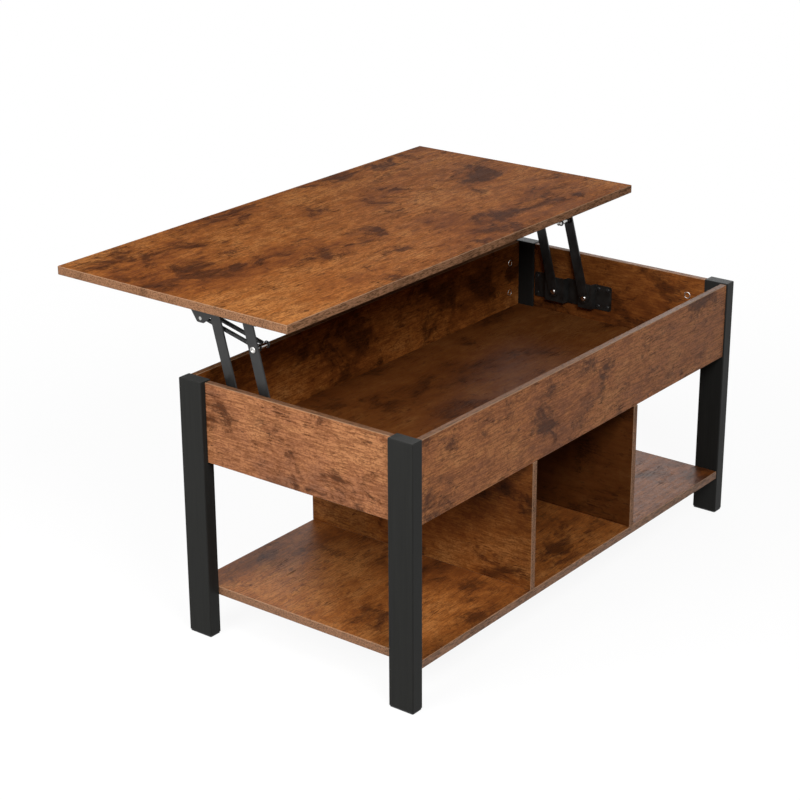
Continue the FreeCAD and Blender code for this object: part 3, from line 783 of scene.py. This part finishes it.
def make_springs():
    """Two close-wound springs each side, from the arm's pin to the rail's lug, with an eye round each pin."""
    pin = Vector((0, *pin_axis("arm_spring_pins")))
    lug = Vector((0, *pin_axis("lug_spring_pins")))
    along = (lug - pin).normalized()
    eye_radius = PIN_RADIUS + EYE_GAP + WIRE_RADIUS
    start, end = pin + along * eye_radius, lug - along * eye_radius
    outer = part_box("lift_springs")[1].x - SPRING_RADIUS
    rows = [side * x for side in SIDES for x in (outer, outer - SPRING_SPACING)]

    def four_at(place):
        return [((x, place.y, place.z), along) for x in rows]

    set_out("arm_spring_eyes", spring_eye(eye_radius, -1), four_at(start), SPRING,
            "rear_arms")
    set_out("lug_spring_eyes", spring_eye(eye_radius, 1), four_at(end), SPRING,
            "lift_top")
    coil = spring_coil((lug - pin).length - 2 * eye_radius)
    springs = set_out("springs", coil, four_at(start), SPRING, "lift_top", ["lift_springs"])
    anchor, axis, keep = spring_closing(pin, lug, eye_radius)
    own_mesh(springs)


# Floor, light and camera

WHITE = (1.0, 1.0, 1.0)
FLOOR_SIZE = 14.0
FLOOR_PALE = (0.95, 0.95, 0.95)
FLOOR_BOUNCE = (0.33, 0.33, 0.33)
FLOOR_WHITE = 0.92
SHADOW_REACH = 0.7
WORLD_LIGHT = 0.08

# Soft square lights: place, the point that each faces, size, and power in watts
LIGHTS = {
    "key_light": ((-2.3, 0.3, 1.6), (-0.2, 0, 0.4), 1.2, 56),
    "front_light": ((-1.2, -1.5, 2.0), (-0.1, -0.1, 0.35), 0.9, 49),
    "right_light": ((2.7, -0.1, 1.5), (0.4, 0, 0.3), 1.2, 16),
    "back_light": ((-0.4, 2.8, 1.6), (0, 0.2, 0.3), 1.2, 16),
    "corner_light": ((2.4, 1.4, 1.5), (0.3, 0.1, 0.2), 1.2, 10),
}

CAMERA_PLACE = (-2.71054, -1.92394, 1.62212)
CAMERA_TURN_DEGREES = (68.6248, 0.2464, -52.508)
CAMERA_LENS = 91.56
CAMERA_SENSOR = 36.0
CAMERA_REACH = 50.0


def showing(tree):
    """One for rays that show a surface, straight, in gloss or through glass; zero for those that light."""
    rays = tree.nodes.new("ShaderNodeLightPath")
    shown = rays.outputs["Is Camera Ray"]
    for kind in ("Is Glossy Ray", "Is Transmission Ray"):
        either = tree.nodes.new("ShaderNodeMath")
        either.operation = "MAXIMUM"
        tree.links.new(shown, either.inputs[0])
        tree.links.new(rays.outputs[kind], either.inputs[1])
        shown = either.outputs[0]
    return shown


def pale_floor_finish():
    """A pale floor that shows nearly white round the table, where its shadow stays, and white farther out."""
    finish = Finish("pale_floor")
    shown = showing(finish.tree)
    finish.paint({
        "Base Color": finish.ramp(shown, [(0.0, FLOOR_BOUNCE), (1.0, FLOOR_PALE)]),
        "Roughness": 0.9,
        "Specular IOR Level": 0.0,
    })
    white = finish.add("ShaderNodeEmission", {"Color": solid(WHITE), "Strength": 1.0})
    away = finish.add("ShaderNodeVectorMath", {0: finish.coordinates()}, operation="LENGTH").outputs["Value"]
    share = finish.between(away, SHADOW_REACH, 3 * SHADOW_REACH, floor=FLOOR_WHITE)
    mix = finish.add("ShaderNodeMixShader", {
        0: finish.calculate("MULTIPLY", shown, share), 1: finish.surface.outputs[0], 2: white.outputs[0],
    })
    finish.feed(finish.tree.nodes["Material Output"], "Surface", mix.outputs[0])
    return finish.material


def make_floor():
    start_piece()
    bpy.ops.mesh.primitive_plane_add(size=FLOOR_SIZE, location=(0, 0, 0))
    floor = bpy.context.active_object
    floor.name = "floor"
    floor.data.materials.append(pale_floor_finish())


def make_world():
    """An even white surround: plain white where it is seen, and softer as light."""
    world = bpy.data.worlds.new("studio")
    bpy.context.scene.world = world
    world.use_nodes = True
    tree = world.node_tree
    background = tree.nodes["Background"]
    background.inputs["Color"].default_value = solid(WHITE)
    strength = tree.nodes.new("ShaderNodeMapRange")
    strength.inputs["To Min"].default_value = WORLD_LIGHT
    strength.inputs["To Max"].default_value = 1.0
    tree.links.new(showing(tree), strength.inputs["Value"])
    tree.links.new(strength.outputs[0], background.inputs["Strength"])


def make_lights():
    for name, (place, target, size, power) in LIGHTS.items():
        start_piece()
        bpy.ops.object.light_add(type="AREA", location=place)
        light = bpy.context.active_object
        light.name = name
        light.data.size = size
        light.data.energy = power
        light.rotation_euler = (Vector(target) - Vector(place)).to_track_quat("-Z", "Y").to_euler()


def make_camera():
    start_piece()
    turn = [math.radians(angle) for angle in CAMERA_TURN_DEGREES]
    bpy.ops.object.camera_add(location=CAMERA_PLACE, rotation=turn)
    camera = bpy.context.active_object
    camera.data.sensor_width = CAMERA_SENSOR
    camera.data.lens = CAMERA_LENS
    camera.data.clip_end = CAMERA_REACH
    bpy.context.scene.camera = camera


dress_solids()
make_cam_locks()
make_screws()
make_rivets()
make_pins()
make_springs()
make_floor()
make_world()
make_lights()
make_camera()
bpy.context.scene.view_settings.view_transform = "Standard"
